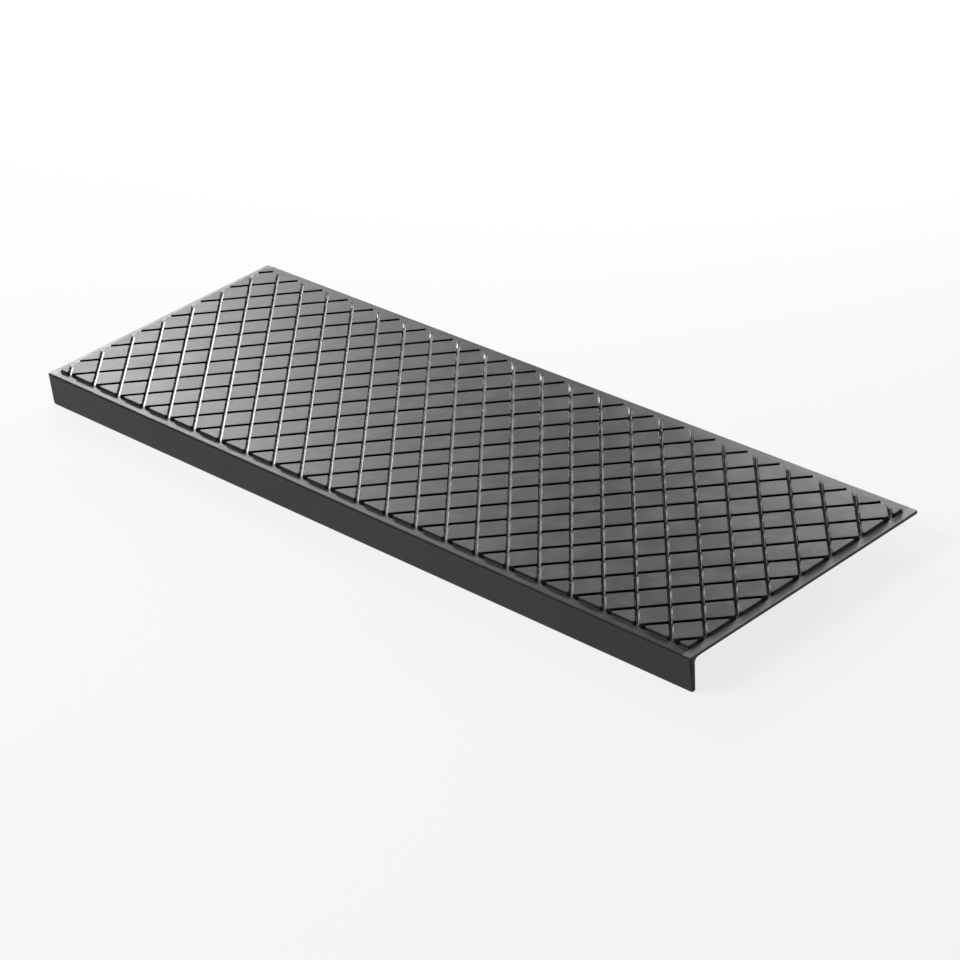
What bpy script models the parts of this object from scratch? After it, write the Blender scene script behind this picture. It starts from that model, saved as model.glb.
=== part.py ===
"""Anti-slip stair tread mat: one moulded rubber sheet with raised pads and a nose lip.

The sheet lies level with its underside at height zero. Its length runs along X,
and the nose lip hangs down along the front edge, on the minus Y side.
"""
import math

import bmesh
import bpy
from mathutils import Vector

# Driving sizes, in metres
mat_length = 0.750
mat_width = 0.250
sheet_thickness = 0.0025

# The lip that hooks over the edge of the step, measured down from the top of the sheet
nose_depth = 0.030
nose_root_thickness = 0.005
nose_tip_thickness = 0.0025
nose_fillet_radius = 0.004
nose_end_radius = 0.003
nose_tip_round = 0.0006

# Rounding of the outline
front_edge_radius = 0.0015
back_corner_radius = 0.0015

# The tread pattern: square pads that stand on a corner, with halves along the edges
border_width = 0.0075
pad_pitch = 0.0335
pad_height = 0.0028
pad_draft = 0.0007
groove_width = 0.0020
pad_corner_radius = 0.0015
half_pad_tip_radius = 0.0025

# Facets of the small arcs
arc_segments = 3
fillet_segments = 4
half_pad_tip_segments = 3
pad_corner_segments = 1

# Finish of the rubber
rubber_colour = (0.018, 0.018, 0.019, 1.0)
rubber_roughness = 0.55
rubber_metallic = 0.0

# Limits for picking geometry: a half pad's sharp tip and a level face in radians, one place in metres
sharp_tip_angle = 1.2
level_tilt = 0.05
same_place = 0.000001

half_length = mat_length / 2
half_width = mat_width / 2
nose_bottom = sheet_thickness - nose_depth
field_inset = border_width - groove_width / 2
straight_up = Vector((0.0, 0.0, 1.0))


def clear_scene():
    for old in list(bpy.data.objects):
        bpy.data.objects.remove(old, do_unlink=True)


def at_place(value, place):
    return abs(value - place) < same_place


def edges_where(mesh, test):
    """Edges whose two ends both pass the test."""
    return [edge for edge in mesh.edges if all(test(vert.co) for vert in edge.verts)]


def round_edges(mesh, edges, radius, segments):
    bmesh.ops.bevel(
        mesh,
        geom=edges,
        offset=radius,
        offset_type="OFFSET",
        segments=segments,
        profile=0.5,
        affect="EDGES",
        clamp_overlap=False,
    )


def extrude_section(mesh):
    """Draw the bent section of sheet and nose at one end and extrude it to the other."""
    section = [
        (half_width, 0.0),
        (half_width, sheet_thickness),
        (-half_width, sheet_thickness),
        (-half_width, nose_bottom),
        (-half_width + nose_tip_thickness, nose_bottom),
        (-half_width + nose_root_thickness, 0.0),
    ]
    corners = [mesh.verts.new((-half_length, y, z)) for y, z in section]
    end_face = mesh.faces.new(corners)
    grown = bmesh.ops.extrude_face_region(mesh, geom=[end_face], use_keep_orig=True)
    moved = [item for item in grown["geom"] if isinstance(item, bmesh.types.BMVert)]
    bmesh.ops.translate(mesh, verts=moved, vec=Vector((mat_length, 0.0, 0.0)))
    bmesh.ops.recalc_face_normals(mesh, faces=mesh.faces)


def top_face(mesh):
    """The widest face that looks straight up."""
    return max(filter(faces_up, mesh.faces), key=lambda face: face.calc_area())


def round_body(mesh):
    """Round the nose, its fillet under the sheet and the corners of the outline."""
    fillet = edges_where(
        mesh, lambda co: at_place(co.y, -half_width + nose_root_thickness) and at_place(co.z, 0.0)
    )
    round_edges(mesh, fillet, nose_fillet_radius, fillet_segments)

    back_corners = edges_where(mesh, lambda co: at_place(co.y, half_width))
    back_corners = [edge for edge in back_corners if at_place(edge.verts[0].co.x, edge.verts[1].co.x)]
    round_edges(mesh, back_corners, back_corner_radius, arc_segments)

    tip_ends = edges_where(mesh, lambda co: at_place(co.z, nose_bottom))
    tip_ends = [edge for edge in tip_ends if at_place(edge.verts[0].co.x, edge.verts[1].co.x)]
    round_edges(mesh, tip_ends, nose_end_radius, fillet_segments)

    front_outline = edges_where(mesh, lambda co: at_place(co.y, -half_width))
    round_edges(mesh, front_outline, front_edge_radius, arc_segments)

    tip_back = edges_where(
        mesh, lambda co: at_place(co.y, -half_width + nose_tip_thickness) and at_place(co.z, nose_bottom)
    )
    round_edges(mesh, tip_back, nose_tip_round, 1)


def faces_up(face):
    return face.normal.angle(straight_up, math.pi) < level_tilt


def in_field(face, field):
    """Whether a face is part of the flat field that carries the pads."""
    return faces_up(face) and all(
        abs(vert.co.x) < field.x + same_place and abs(vert.co.y) < field.y + same_place
        for vert in face.verts
    )


def score_lines(mesh, field, columns, rows):
    """Cut the field along both sets of diagonals, halfway between the pad centres."""
    step_x = 2 * field.x / columns
    step_y = 2 * field.y / rows
    for slope, first_line in ((1, 0), (-1, -rows)):
        across = Vector((1 / step_x, slope / step_y, 0.0)).normalized()
        for line in range(first_line, first_line + columns + rows):
            on_line = Vector(((line + 0.5) * step_x - field.x, -field.y, sheet_thickness))
            faces = [face for face in mesh.faces if in_field(face, field)]
            inside = set(faces)
            edges = [edge for edge in mesh.edges if inside.intersection(edge.link_faces)]
            verts = [vert for vert in mesh.verts if inside.intersection(vert.link_faces)]
            bmesh.ops.bisect_plane(
                mesh, geom=faces + edges + verts, dist=same_place, plane_co=on_line, plane_no=across
            )


def round_pad_corners(mesh, pads):
    """Round every pad corner, the sharp tips of the half pads more than the square corners."""
    tips = []
    squares = []
    for pad in pads:
        for loop in pad.loops:
            if loop.calc_angle() < sharp_tip_angle:
                tips.append(loop.vert)
            else:
                squares.append(loop.vert)
    round_corners(mesh, tips, math.pi / 4, half_pad_tip_radius, half_pad_tip_segments)
    round_corners(mesh, squares, math.pi / 2, pad_corner_radius, pad_corner_segments)


def round_corners(mesh, corners, angle, radius, segments):
    """Round corners of one angle, where the cut along each side follows from the radius."""
    bmesh.ops.bevel(
        mesh,
        geom=corners,
        offset=radius / math.tan(angle / 2),
        segments=segments,
        profile=0.5,
        affect="VERTICES",
        clamp_overlap=False,
    )


def raise_pads(mesh):
    """Turn the flat field into grooves and drafted pads, and close the groove floor again."""
    field = Vector((half_length - field_inset, half_width - field_inset, 0.0))
    columns = round(2 * field.x / pad_pitch)
    rows = round(2 * field.y / pad_pitch)
    score_lines(mesh, field, columns, rows)

    pads = [face for face in mesh.faces if in_field(face, field)]
    rings = bmesh.ops.inset_individual(mesh, faces=pads, thickness=groove_width / 2, use_even_offset=True)
    bmesh.ops.delete(mesh, geom=rings["faces"], context="FACES")
    round_pad_corners(mesh, pads)

    pads = [face for face in mesh.faces if in_field(face, field)]
    bmesh.ops.inset_individual(
        mesh, faces=pads, thickness=pad_draft, depth=pad_height, use_even_offset=True
    )
    open_edges = [edge for edge in mesh.edges if len(edge.link_faces) == 1]
    bmesh.ops.triangle_fill(mesh, edges=open_edges, use_beauty=True, normal=straight_up)


def rubber_material():
    rubber = bpy.data.materials.new("rubber")
    rubber.use_nodes = True
    shader = rubber.node_tree.nodes["Principled BSDF"]
    shader.inputs["Base Color"].default_value = rubber_colour
    shader.inputs["Roughness"].default_value = rubber_roughness
    shader.inputs["Metallic"].default_value = rubber_metallic
    rubber.diffuse_color = rubber_colour
    return rubber


def build_mat():
    mesh = bmesh.new()
    extrude_section(mesh)
    bmesh.ops.inset_region(mesh, faces=[top_face(mesh)], thickness=field_inset, use_even_offset=True)
    round_body(mesh)
    raise_pads(mesh)
    bmesh.ops.recalc_face_normals(mesh, faces=mesh.faces)
    data = bpy.data.meshes.new("tread_mat")
    mesh.to_mesh(data)
    mesh.free()
    data.materials.append(rubber_material())
    mat = bpy.data.objects.new("tread_mat", data)
    bpy.context.scene.collection.objects.link(mat)


clear_scene()
build_mat()
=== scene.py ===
"""Looks of a moulded rubber stair tread mat: the rounded sheet with its raised pads and nose lip,
the rubber itself, and a plain pale studio floor with soft light."""
import math

import bmesh
import bpy
from mathutils import Matrix, Vector


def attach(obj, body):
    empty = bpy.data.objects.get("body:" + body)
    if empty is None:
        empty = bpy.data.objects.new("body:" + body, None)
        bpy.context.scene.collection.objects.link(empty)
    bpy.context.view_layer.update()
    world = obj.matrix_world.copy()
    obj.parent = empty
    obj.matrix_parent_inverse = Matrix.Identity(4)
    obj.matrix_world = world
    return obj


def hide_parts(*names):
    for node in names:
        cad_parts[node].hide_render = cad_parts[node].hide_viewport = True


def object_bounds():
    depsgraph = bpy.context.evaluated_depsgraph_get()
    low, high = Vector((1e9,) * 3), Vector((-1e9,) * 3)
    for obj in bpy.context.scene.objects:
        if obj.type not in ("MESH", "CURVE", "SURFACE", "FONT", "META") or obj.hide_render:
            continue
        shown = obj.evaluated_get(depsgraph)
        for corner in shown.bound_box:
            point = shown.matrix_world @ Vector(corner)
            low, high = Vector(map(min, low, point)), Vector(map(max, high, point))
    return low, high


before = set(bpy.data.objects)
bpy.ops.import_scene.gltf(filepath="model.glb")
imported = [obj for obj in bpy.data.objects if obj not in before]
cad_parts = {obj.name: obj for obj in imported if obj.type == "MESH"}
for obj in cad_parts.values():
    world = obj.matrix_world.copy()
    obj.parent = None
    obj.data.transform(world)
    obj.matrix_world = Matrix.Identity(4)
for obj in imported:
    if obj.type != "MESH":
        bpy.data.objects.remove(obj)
cad_low, cad_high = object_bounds()

bl_info = {
    "name": "Rubber Stair Tread Mat",
    "version": (1, 0, 0),
    "blender": (4, 5, 0),
    "location": "View3D > Sidebar > Tread Mat",
    "description": "Models a rubber stair tread mat with raised pads and a nose lip, and its studio",
    "category": "Add Mesh",
}

CAD_NODE = "tread_mat"
PIECE_NAME = "tread_mat_rubber"
SHEET_THICKNESS = 0.0025

# How faces, edges and corners are told apart: by place in metres, by direction, and by angle
SAME_PLACE = 0.000002
LEVEL = 0.99
SHARP_EDGE = math.radians(50)
SHARP_TIP = math.radians(70)

# Number of faces along each rounding
NOSE_SEGMENTS = 8
OUTLINE_SEGMENTS = 5
RIM_SEGMENTS = 2
HALF_PAD_TIP_SEGMENTS = 4
PAD_CORNER_SEGMENTS = 1

# Angles at the corners of the pads, in degrees
HALF_PAD_TIP_ANGLE = 45
PAD_CORNER_ANGLE = 90

# Rubber: depths below a pad's top or the sheet's, and distances from the edge of the pad field, in metres
PAD_TOP_START = 0.0003
PAD_TOP_END = 0.00005
BORDER_SIDE = 0.0008
BORDER_EDGE = 0.0002
GROOVE_MOUTH = 0.0045
GROOVE_MOUTH_END = 0.001

# Rubber: share of pale colour on pads and border, partly real bloom and partly painted light that leaves the
# grooves and walls near black as painted shade, what worn places add, and the painted light on the mat's two
# ends
PLAIN_BLOOM_AND_LIGHT = 0.14
WORN_PAD_BLOOM = 0.18
WORN_BORDER_BLOOM = 0.11
# Painted light on the mat's two end borders, which makes them paler than the front and back borders
END_PAINTED_LIGHT = 0.7

# Rubber: roughness in the grooves, and what dull, worn and grainy places add
GROOVE_ROUGHNESS = 0.12
DULL_ROUGHNESS = 0.26
WORN_ROUGHNESS = 0.05
GRAIN_ROUGHNESS = 0.03

# Rubber: its fine grain, with the share of it in the grooves, and the patches that are more worn
GRAIN_SCALE = 2600.0
GRAIN_STRENGTH = 0.35
GRAIN_HEIGHT = 0.00012
GROOVE_GRAIN = 0.35
PATCH_SCALE = 38.0
WORN_FROM = 0.35
WORN_TO = 0.75

# Studio: each lamp's name, place, width and height in metres, and power in watts, aimed at the mat's middle
LAMPS = (
    ("left_softbox", (-2.068, 0.878, 1.096), 0.5, 0.7, 15.8),
    ("left_strip", (-1.946, 1.123, 1.096), 0.4, 0.5, 5.4),
    ("middle_strip", (-1.699, 1.376, 1.212), 0.45, 0.6, 2.2),
    ("back_softbox", (-0.476, 1.121, 0.285), 0.4, 0.3, 8.2),
    ("front_softbox", (-1.217, -1.738, 2.121), 1.2, 1.2, 46),
)
SURROUNDING_LIGHT = 0.12
FLOOR_SIZE = 50

# Camera: angles in degrees, place in metres, lens and sensor in millimetres
VIEW_AZIMUTH = 49.62
VIEW_ELEVATION = 29.25
VIEW_ROLL = -7.18
CAMERA_PLACE = (1.733, -1.451, 1.226)
LENS = 120.45
SENSOR_WIDTH = 36
VIEW_RANGE = 60


# Sizes and finishes that a user would change

class TreadMatSizes(bpy.types.PropertyGroup):
    """Sizes of the mat, which follow the solid model"""

    length: bpy.props.FloatProperty(
        name="Length",
        description="Length of the mat along the step",
        unit="LENGTH",
        default=cad_high[0] - cad_low[0],
    )
    width: bpy.props.FloatProperty(
        name="Width",
        description="Width of the mat from nose to back",
        unit="LENGTH",
        default=cad_high[1] - cad_low[1],
    )
    sheet_thickness: bpy.props.FloatProperty(
        name="Sheet thickness",
        description="Thickness of the sheet between the pads",
        unit="LENGTH",
        default=SHEET_THICKNESS,
    )
    pad_height: bpy.props.FloatProperty(
        name="Pad height",
        description="Height of the pads above the sheet",
        unit="LENGTH",
        default=cad_high[2] - SHEET_THICKNESS,
    )
    pad_pitch: bpy.props.FloatProperty(
        name="Pad pitch",
        description="Distance along an edge from one pad to the next",
        unit="LENGTH",
        default=0.0335,
    )
    pad_draft: bpy.props.FloatProperty(
        name="Pad draft",
        description="How far a pad's wall leans in over its height",
        unit="LENGTH",
        default=0.0007,
    )
    pad_corner_radius: bpy.props.FloatProperty(
        name="Pad corner radius",
        description="Radius of the pads' square corners in plan",
        unit="LENGTH",
        default=0.0015,
    )
    half_pad_tip_radius: bpy.props.FloatProperty(
        name="Half pad tip radius",
        description="Radius of the half pads' sharp tips in plan",
        unit="LENGTH",
        default=0.0025,
    )
    pad_foot_fillet: bpy.props.FloatProperty(
        name="Pad foot fillet",
        description="Radius where a pad's wall runs into the groove floor",
        unit="LENGTH",
        default=0.0005,
    )
    pad_top_round: bpy.props.FloatProperty(
        name="Pad top rounding",
        description="Radius along the top edges of the pads",
        unit="LENGTH",
        default=0.0004,
    )
    groove_width: bpy.props.FloatProperty(
        name="Groove width",
        description="Width of the groove between the feet of two pads",
        unit="LENGTH",
        default=0.0020,
    )
    border_width: bpy.props.FloatProperty(
        name="Border width",
        description="Plain border between the outline and the pads",
        unit="LENGTH",
        default=0.0075,
    )
    nose_depth: bpy.props.FloatProperty(
        name="Nose depth",
        description="Depth of the nose lip below the top of the sheet",
        unit="LENGTH",
        default=SHEET_THICKNESS - cad_low[2],
    )
    nose_root: bpy.props.FloatProperty(
        name="Nose root",
        description="Thickness of the nose lip under the sheet",
        unit="LENGTH",
        default=0.005,
    )
    nose_tip: bpy.props.FloatProperty(
        name="Nose tip",
        description="Thickness of the nose lip at its lower edge",
        unit="LENGTH",
        default=0.0025,
    )
    nose_fillet: bpy.props.FloatProperty(
        name="Nose fillet",
        description="Radius inside the bend, under the sheet",
        unit="LENGTH",
        default=0.004,
    )
    nose_end_radius: bpy.props.FloatProperty(
        name="Nose end radius",
        description="Radius of the lip's two lower corners",
        unit="LENGTH",
        default=0.003,
    )
    front_edge_radius: bpy.props.FloatProperty(
        name="Front edge radius",
        description="Radius round the front face of the nose",
        unit="LENGTH",
        default=0.0015,
    )
    back_corner_radius: bpy.props.FloatProperty(
        name="Back corner radius",
        description="Radius of the two back corners",
        unit="LENGTH",
        default=0.0015,
    )
    rim_round: bpy.props.FloatProperty(
        name="Rim rounding",
        description="Small radius along the other outer edges",
        unit="LENGTH",
        default=0.0004,
    )


class TreadMatFinish(bpy.types.PropertyGroup):
    """Colours of the rubber and the studio"""

    rubber_colour: bpy.props.FloatVectorProperty(
        name="Rubber",
        description="Colour of the rubber",
        subtype="COLOR",
        size=3,
        min=0,
        max=1,
        default=(0.0034, 0.0034, 0.0035),
    )
    # Pale colour for pads and border: partly real bloom, partly painted light, with grooves and walls left
    # near black as painted shade
    bloom_and_light_colour: bpy.props.FloatVectorProperty(
        name="Bloom",
        description="Colour of the faint pale bloom on the pads",
        subtype="COLOR",
        size=3,
        min=0,
        max=1,
        default=(0.24, 0.24, 0.237),
    )
    floor_colour: bpy.props.FloatVectorProperty(
        name="Floor",
        description="Colour of the studio floor",
        subtype="COLOR",
        size=3,
        min=0,
        max=1,
        default=(0.93, 0.93, 0.93),
    )
    floor_glow: bpy.props.FloatProperty(
        name="Floor white",
        description="How far the floor is drawn towards white where it is seen",
        subtype="FACTOR",
        min=0,
        max=1,
        default=0.8,
    )


# Shader maths as plain expressions

class Socket:
    """Wraps an output socket, so that numbers and sockets add their Math nodes by themselves"""

    def __init__(self, tree, socket):
        self.tree = tree
        self.socket = socket

    def __add__(self, other):
        return maths(self.tree, "ADD", self, other)

    def __radd__(self, other):
        return maths(self.tree, "ADD", other, self)

    def __sub__(self, other):
        return maths(self.tree, "SUBTRACT", self, other)

    def __rsub__(self, other):
        return maths(self.tree, "SUBTRACT", other, self)

    def __mul__(self, other):
        return maths(self.tree, "MULTIPLY", self, other)

    def __rmul__(self, other):
        return maths(self.tree, "MULTIPLY", other, self)

    def __abs__(self):
        return maths(self.tree, "ABSOLUTE", self)

    def sibling(self, name):
        """Another output of the same node"""
        return Socket(self.tree, self.socket.node.outputs[name])


def put(tree, socket, value):
    """Links a wrapped socket to an input, or sets the input's own value"""
    if isinstance(value, Socket):
        tree.links.new(value.socket, socket)
    else:
        socket.default_value = value


def maths(tree, operation, *values):
    """Adds a Math node for an operator in an expression"""
    node = tree.nodes.new("ShaderNodeMath")
    node.operation = operation
    for place, value in enumerate(values):
        put(tree, node.inputs[place], value)
    return Socket(tree, node.outputs[0])


class Finish:
    """A new material with its tree, and one method that adds any node"""

    def __init__(self, name):
        self.material = bpy.data.materials.new(name)
        self.material.use_nodes = True
        self.tree = self.material.node_tree
        self.tree.nodes.clear()

    def node(self, kind, settings=None, values=None, output=0):
        node = self.tree.nodes.new(kind)
        for name, value in (settings or {}).items():
            setattr(node, name, value)
        for name, value in (values or {}).items():
            put(self.tree, node.inputs[name], value)
        return Socket(self.tree, node.outputs[output])

    def mix_colours(self, amount, first, second):
        """Blends two colours: sockets 6 and 7 of a Mix node take them, and output 2 gives the blend"""
        return self.node("ShaderNodeMix", {"data_type": "RGBA"}, {0: amount, 6: first, 7: second}, output=2)

    def higher(self, first, second):
        return self.node("ShaderNodeMath", {"operation": "MAXIMUM"}, {0: first, 1: second})

    def noise(self, place, scale, detail, roughness):
        return self.node(
            "ShaderNodeTexNoise",
            values={"Vector": place, "Scale": scale, "Detail": detail, "Roughness": roughness},
        )

    def spread(self, value, low, high):
        """Rises smoothly from 0 to 1 between two values"""
        return self.node(
            "ShaderNodeMapRange",
            {"interpolation_type": "SMOOTHSTEP"},
            {"Value": value, "From Min": low, "From Max": high},
        )

    def surface(self, shader):
        """Closes the tree with the shader and gives back the material"""
        output = self.tree.nodes.new("ShaderNodeOutputMaterial")
        put(self.tree, output.inputs["Surface"], shader)
        return self.material


def rubber_finish(sizes, finish):
    """Black moulded rubber: a dull, faintly grey bloom on the pads and the border, partly painted light that
    leaves the grooves and walls near black as painted shade, paler painted light on the two end borders, and
    glossier grooves
    """
    rubber = Finish("moulded_rubber")
    place = rubber.node("ShaderNodeTexCoord", output="Object")
    across = rubber.node("ShaderNodeSeparateXYZ", values={"Vector": place}, output="X")
    deep = across.sibling("Y")
    height = across.sibling("Z")

    # Where the surface is: on a pad's top, on the plain border or its two ends, or in a groove
    sheet_top = sizes.sheet_thickness
    pad_top = sheet_top + sizes.pad_height
    border = sizes.border_width + BORDER_EDGE
    past_end = abs(across) - (sizes.length / 2 - border)
    past_side = abs(deep) - (sizes.width / 2 - border)
    past_pads = rubber.higher(past_end, past_side)
    on_pad = rubber.spread(height, pad_top - PAD_TOP_START, pad_top - PAD_TOP_END)
    on_end = rubber.spread(past_end, -BORDER_EDGE, BORDER_EDGE)
    on_border = rubber.spread(past_pads, -BORDER_EDGE, BORDER_EDGE)
    on_border = on_border * rubber.spread(height, sheet_top - BORDER_SIDE, sheet_top)
    dull = rubber.higher(on_pad, rubber.spread(past_pads, -GROOVE_MOUTH, -GROOVE_MOUTH_END))

    # Fine moulded grain, and patches where handling has dulled the rubber more
    grain = rubber.noise(place, GRAIN_SCALE, detail=3.0, roughness=0.6)
    patches = rubber.noise(place, PATCH_SCALE, detail=4.0, roughness=0.55)
    worn = rubber.spread(patches, WORN_FROM, WORN_TO)

    # Pads and border paler than the grooves and walls: partly real bloom, partly painted light and painted
    # shade
    pad_bloom_and_light = worn * WORN_PAD_BLOOM + PLAIN_BLOOM_AND_LIGHT
    # The two end borders get painted light on top of the border's bloom and painted light
    border_bloom_and_light = on_end * END_PAINTED_LIGHT + worn * WORN_BORDER_BLOOM + PLAIN_BLOOM_AND_LIGHT
    bloom_and_light = on_pad * pad_bloom_and_light + on_border * border_bloom_and_light
    colour = rubber.mix_colours(bloom_and_light, (*finish.rubber_colour, 1.0), (*finish.bloom_and_light_colour, 1.0))
    added_roughness = worn * WORN_ROUGHNESS + DULL_ROUGHNESS
    roughness = GROOVE_ROUGHNESS + dull * added_roughness + (grain - 0.5) * GRAIN_ROUGHNESS
    relief = grain * (on_pad * (1 - GROOVE_GRAIN) + GROOVE_GRAIN)
    bump = rubber.node(
        "ShaderNodeBump",
        values={"Strength": GRAIN_STRENGTH, "Distance": GRAIN_HEIGHT, "Height": relief},
    )
    shader = rubber.node(
        "ShaderNodeBsdfPrincipled",
        values={
            "Base Color": colour,
            "Roughness": roughness,
            "Metallic": 0.0,
            "IOR": 1.5,
            "Specular IOR Level": 0.34,
            "Normal": bump,
        },
    )
    return rubber.surface(shader)


def floor_finish(finish):
    """Matt pale studio floor, which looks white outside the mat's shadow"""
    floor = Finish("studio_floor")
    matt = floor.node(
        "ShaderNodeBsdfPrincipled",
        values={"Base Color": (*finish.floor_colour, 1.0), "Roughness": 1.0, "Specular IOR Level": 0.0},
    )
    camera_ray = floor.node("ShaderNodeLightPath", output="Is Camera Ray")
    seen = floor.higher(camera_ray, camera_ray.sibling("Is Glossy Ray"))
    seen = floor.higher(seen, camera_ray.sibling("Is Transmission Ray"))
    white = floor.node("ShaderNodeEmission", values={"Color": (1, 1, 1, 1), "Strength": 1.0})
    shader = floor.node("ShaderNodeMixShader", values={0: seen * finish.floor_glow, 1: matt, 2: white})
    return floor.surface(shader)


# Picking parts of the mesh in edit mode

def edit_mesh():
    return bmesh.from_edit_mesh(bpy.context.object.data)


def pick(kind, test):
    """Selects only the faces, edges or vertices of the edited mesh that pass the test"""
    bpy.ops.mesh.select_mode(type=kind)
    bpy.ops.mesh.select_all(action="DESELECT")
    mesh = edit_mesh()
    found = {"FACE": mesh.faces, "EDGE": mesh.edges, "VERT": mesh.verts}[kind]
    chosen = [item for item in found if test(item)]
    for item in chosen:
        item.select_set(True)
    mesh.select_flush_mode()
    bmesh.update_edit_mesh(bpy.context.object.data)
    if not chosen:
        raise RuntimeError("nothing was found to shape")


def at(value, place):
    """Whether two lengths are the same"""
    return abs(value - place) < SAME_PLACE


def round_picked(radius, segments, affect="EDGES"):
    """Rounds the picked edges, or the picked corners in plan"""
    bpy.ops.mesh.bevel(
        offset_type="OFFSET",
        offset=radius,
        segments=segments,
        profile=0.5,
        affect=affect,
        clamp_overlap=False,
    )


def all_ends(edge, test):
    """Whether both ends of an edge pass the test"""
    return all(test(vert.co) for vert in edge.verts)


def crosswise(edge):
    """Whether an edge lies in the end of the mat, with both its ends at one place along the length"""
    return at(edge.verts[0].co.x, edge.verts[1].co.x)


# The sheet and its nose

def shape_sheet(sizes):
    """Draws a flat slab out to the sheet, pulls the nose down and rounds the edges"""
    half_length = sizes.length / 2
    half_width = sizes.width / 2
    top = sizes.sheet_thickness
    tip = top - sizes.nose_depth
    bpy.ops.object.select_all(action="DESELECT")
    bpy.ops.mesh.primitive_cube_add(size=1, location=(0, 0, top / 2), scale=(sizes.length, sizes.width, top))
    piece = bpy.context.object
    piece.name = PIECE_NAME
    piece.data.name = PIECE_NAME
    bpy.ops.object.transform_apply(location=True, rotation=True, scale=True)

    bpy.ops.object.mode_set(mode="EDIT")
    root_line = -half_width + sizes.nose_root
    pick("FACE", lambda face: face.normal.z < -LEVEL)
    bpy.ops.mesh.bisect(plane_co=(0, root_line, 0), plane_no=(0, 1, 0))
    pick("FACE", lambda face: face.normal.z < -LEVEL and face.calc_center_median().y < root_line)
    bpy.ops.mesh.extrude_region_move(TRANSFORM_OT_translate={"value": (0, 0, tip)})
    pick("EDGE", lambda edge: all_ends(edge, lambda co: at(co.z, tip) and at(co.y, root_line)))
    bpy.ops.transform.translate(value=(0, sizes.nose_tip - sizes.nose_root, 0))

    pick("FACE", lambda face: face.normal.z > LEVEL)
    bpy.ops.mesh.inset(thickness=sizes.border_width - sizes.groove_width / 2, use_even_offset=True)

    pick("EDGE", lambda edge: all_ends(edge, lambda co: at(co.z, 0) and at(co.y, root_line)))
    round_picked(sizes.nose_fillet, NOSE_SEGMENTS)
    pick("EDGE", lambda edge: crosswise(edge) and all_ends(edge, lambda co: at(co.y, half_width)))
    round_picked(sizes.back_corner_radius, OUTLINE_SEGMENTS)
    pick("EDGE", lambda edge: crosswise(edge) and all_ends(edge, lambda co: at(co.z, tip)))
    round_picked(sizes.nose_end_radius, NOSE_SEGMENTS)
    pick("EDGE", lambda edge: all_ends(edge, lambda co: at(co.y, -half_width)))
    round_picked(sizes.front_edge_radius, OUTLINE_SEGMENTS)
    pick("EDGE", lambda edge: edge.calc_face_angle() > SHARP_EDGE)
    round_picked(sizes.rim_round, RIM_SEGMENTS)
    return piece


# The tread pattern

def pick_field(reach_x, reach_y):
    """Selects the level faces between the plain borders"""
    def inside(co):
        return abs(co.x) < reach_x + SAME_PLACE and abs(co.y) < reach_y + SAME_PLACE

    pick("FACE", lambda face: face.normal.z > LEVEL and all(inside(vert.co) for vert in face.verts))


def score_field(sizes, reach_x, reach_y):
    """Cuts the flat field along both sets of diagonals, halfway between the pads"""
    columns = round(2 * reach_x / sizes.pad_pitch)
    rows = round(2 * reach_y / sizes.pad_pitch)
    step_x = 2 * reach_x / columns
    step_y = 2 * reach_y / rows
    for slope, first_line in ((1, 0), (-1, -rows)):
        across = Vector((1 / step_x, slope / step_y, 0)).normalized()
        for line in range(first_line, first_line + columns + rows):
            pick_field(reach_x, reach_y)
            bpy.ops.mesh.bisect(
                plane_co=((line + 0.5) * step_x - reach_x, -reach_y, sizes.sheet_thickness),
                plane_no=across,
                threshold=SAME_PLACE,
            )


def place_of(vert):
    """A corner's place, rounded so that it can be found again"""
    return tuple(round(number, 6) for number in vert.co)


def round_pad_corners(sizes):
    """Rounds the pads' corners in plan, the sharp tips of the half pads more than the square corners"""
    sharp = set()
    square = set()
    for face in edit_mesh().faces:
        if face.select:
            for loop in face.loops:
                corners = sharp if loop.calc_angle() < SHARP_TIP else square
                corners.add(place_of(loop.vert))
    round_corners(sharp, HALF_PAD_TIP_ANGLE, sizes.half_pad_tip_radius, HALF_PAD_TIP_SEGMENTS)
    round_corners(square, PAD_CORNER_ANGLE, sizes.pad_corner_radius, PAD_CORNER_SEGMENTS)


def round_corners(places, angle, radius, segments):
    """Rounds the corners at some places, where the cut along each side follows from the angle"""
    pick("VERT", lambda vert: place_of(vert) in places)
    round_picked(radius / math.tan(math.radians(angle / 2)), segments, affect="VERTICES")


def pad_profile(sizes):
    """Steps in and up from the groove floor to a pad's top, by fillet, leaning wall and rounded edge,
    and how far the fillet reaches out from the foot of the wall"""
    lean = math.atan2(sizes.pad_height, sizes.pad_draft)
    half = lean / 2
    foot = sizes.pad_foot_fillet
    crown = sizes.pad_top_round
    low = (math.sin(half), 1 - math.cos(half))
    high = (math.sin(lean) - math.sin(half), math.cos(half) - math.cos(lean))
    wall = sizes.pad_height - (foot + crown) * (1 - math.cos(lean))
    steps = [
        (foot * low[0], foot * low[1]),
        (foot * high[0], foot * high[1]),
        (wall / math.tan(lean), wall),
        (crown * high[0], crown * high[1]),
        (crown * low[0], crown * low[1]),
    ]
    return steps, foot * math.tan(half)


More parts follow.
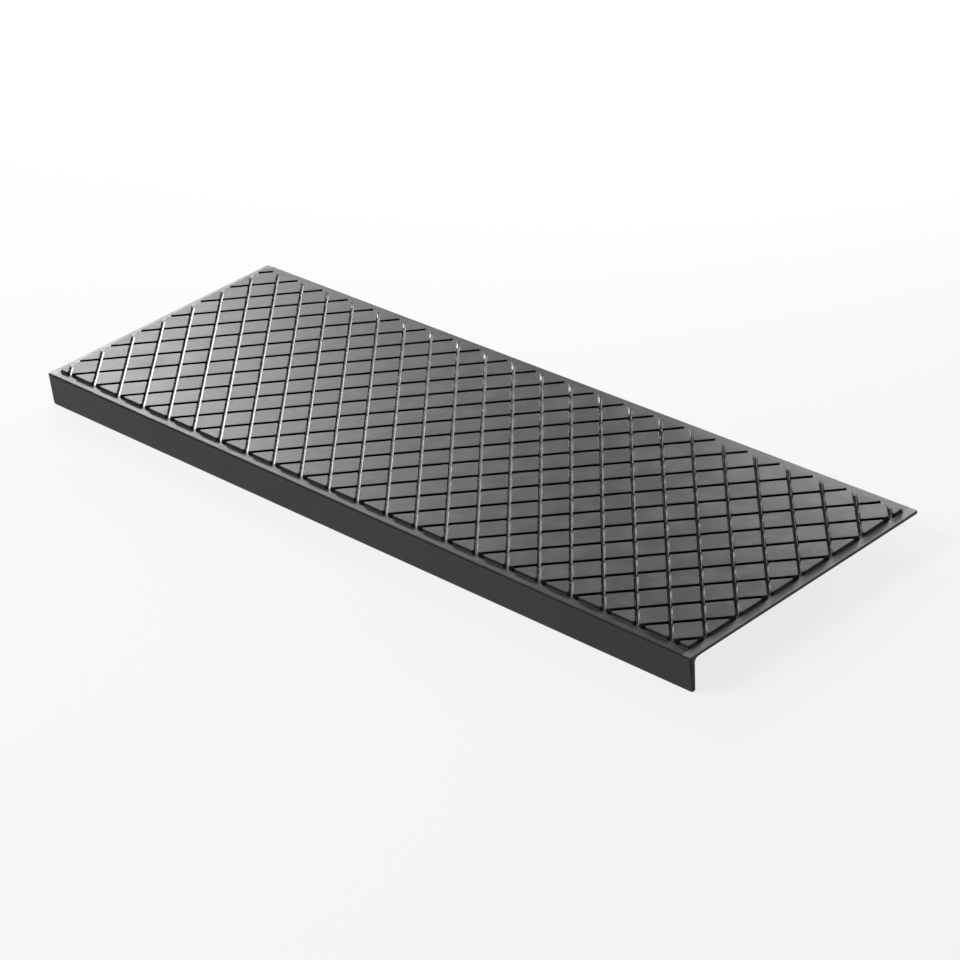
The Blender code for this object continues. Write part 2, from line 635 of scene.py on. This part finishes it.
def raise_pads(sizes):
    """Turns the flat field into grooves and pads with soft edges, and closes the groove floor again"""
    inset = sizes.border_width - sizes.groove_width / 2
    reach_x = sizes.length / 2 - inset
    reach_y = sizes.width / 2 - inset
    score_field(sizes, reach_x, reach_y)
    pick_field(reach_x, reach_y)
    steps, foot_reach = pad_profile(sizes)
    bpy.ops.mesh.inset(
        thickness=sizes.groove_width / 2 - foot_reach,
        use_individual=True,
        use_even_offset=True,
        use_select_inset=True,
    )
    bpy.ops.mesh.delete(type="FACE")
    pick_field(reach_x, reach_y)
    round_pad_corners(sizes)

    pick_field(reach_x, reach_y)
    for inward, upward in steps:
        bpy.ops.mesh.inset(thickness=inward, depth=upward, use_individual=True, use_even_offset=True)
    pick("EDGE", lambda edge: len(edge.link_faces) == 1)
    bpy.ops.mesh.fill(use_beauty=True)
    bpy.ops.mesh.select_all(action="SELECT")
    bpy.ops.mesh.normals_make_consistent(inside=False)
    bpy.ops.object.mode_set(mode="OBJECT")


# Operators

class OBJECT_OT_tread_mat_add(bpy.types.Operator):
    """Model the rubber mat, with its raised pads and nose lip, over the solid"""

    bl_idname = "object.tread_mat_add"
    bl_label = "Add Tread Mat"
    bl_options = {"REGISTER", "UNDO"}

    def execute(self, context):
        sizes = context.scene.tread_mat_sizes
        finish = context.scene.tread_mat_finish
        piece = shape_sheet(sizes)
        raise_pads(sizes)
        piece.data.materials.clear()
        piece.data.materials.append(rubber_finish(sizes, finish))
        bpy.ops.object.shade_smooth_by_angle(angle=SHARP_EDGE)
        bpy.ops.object.modifier_add(type="WEIGHTED_NORMAL")
        piece.modifiers[-1].keep_sharp = True
        bpy.ops.object.modifier_apply(modifier=piece.modifiers[-1].name)
        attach(piece, "root")
        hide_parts(CAD_NODE)
        return {"FINISHED"}


class SCENE_OT_tread_mat_studio_add(bpy.types.Operator):
    """Set up the pale floor, the soft lights and the camera"""

    bl_idname = "scene.tread_mat_studio_add"
    bl_label = "Add Studio"
    bl_options = {"REGISTER", "UNDO"}

    def execute(self, context):
        add_floor(context)
        add_lights(context)
        add_camera(context)
        return {"FINISHED"}


def add_floor(context):
    sizes = context.scene.tread_mat_sizes
    bpy.ops.object.select_all(action="DESELECT")
    floor_height = sizes.sheet_thickness - sizes.nose_depth
    bpy.ops.mesh.primitive_plane_add(size=FLOOR_SIZE, location=(0, 0, floor_height))
    floor = bpy.context.object
    floor.name = "studio_floor"
    bpy.ops.object.transform_apply(location=True, rotation=True, scale=True)
    floor.data.materials.append(floor_finish(context.scene.tread_mat_finish))


def add_area_light(name, place, width, height, power):
    """Adds a flat lamp that faces the middle of the mat"""
    bpy.ops.object.light_add(type="AREA", location=place)
    lamp = bpy.context.object
    lamp.name = name
    lamp.data.shape = "RECTANGLE"
    lamp.data.size = width
    lamp.data.size_y = height
    lamp.data.energy = power
    lamp.rotation_euler = (-lamp.location).to_track_quat("-Z", "Y").to_euler()


def add_lights(context):
    world = bpy.data.worlds.new("studio_world")
    world.use_nodes = True
    background = world.node_tree.nodes["Background"].inputs
    background["Color"].default_value = (1, 1, 1, 1)
    background["Strength"].default_value = SURROUNDING_LIGHT
    context.scene.world = world
    for lamp in LAMPS:
        add_area_light(*lamp)


def add_camera(context):
    """Camera at the viewpoint of the photograph"""
    azimuth = math.radians(VIEW_AZIMUTH)
    elevation = math.radians(VIEW_ELEVATION)
    level = math.cos(elevation)
    forward = Vector((-math.sin(azimuth) * level, math.cos(azimuth) * level, -math.sin(elevation)))
    right = forward.cross(Vector((0, 0, 1))).normalized()
    up = right.cross(forward)
    turn = Matrix((right, up, -forward)).transposed()
    roll = Matrix.Rotation(math.radians(VIEW_ROLL), 3, "Z")
    bpy.ops.object.camera_add(location=CAMERA_PLACE)
    camera = bpy.context.object
    camera.name = "studio_camera"
    camera.rotation_euler = (turn @ roll).to_euler()
    camera.data.sensor_width = SENSOR_WIDTH
    camera.data.lens = LENS
    camera.data.clip_end = VIEW_RANGE
    context.scene.camera = camera


class VIEW3D_PT_tread_mat(bpy.types.Panel):
    """Lists the mat's sizes, finishes and operators"""

    bl_label = "Tread Mat"
    bl_idname = "VIEW3D_PT_tread_mat"
    bl_space_type = "VIEW_3D"
    bl_region_type = "UI"
    bl_category = "Tread Mat"

    def draw(self, context):
        layout = self.layout
        for group in (context.scene.tread_mat_sizes, context.scene.tread_mat_finish):
            box = layout.box()
            for name in group.bl_rna.properties.keys():
                if name not in ("rna_type", "name"):
                    box.prop(group, name)
        layout.operator(OBJECT_OT_tread_mat_add.bl_idname)
        layout.operator(SCENE_OT_tread_mat_studio_add.bl_idname)


CLASSES = (
    TreadMatSizes,
    TreadMatFinish,
    OBJECT_OT_tread_mat_add,
    SCENE_OT_tread_mat_studio_add,
    VIEW3D_PT_tread_mat,
)


def register():
    for item in CLASSES:
        bpy.utils.register_class(item)
    bpy.types.Scene.tread_mat_sizes = bpy.props.PointerProperty(type=TreadMatSizes)
    bpy.types.Scene.tread_mat_finish = bpy.props.PointerProperty(type=TreadMatFinish)


def unregister():
    del bpy.types.Scene.tread_mat_finish
    del bpy.types.Scene.tread_mat_sizes
    for item in reversed(CLASSES):
        bpy.utils.unregister_class(item)


def main():
    register()
    bpy.context.scene.view_settings.view_transform = "Standard"
    bpy.ops.object.tread_mat_add()
    bpy.ops.scene.tread_mat_studio_add()


if __name__ == "__main__":
    main()
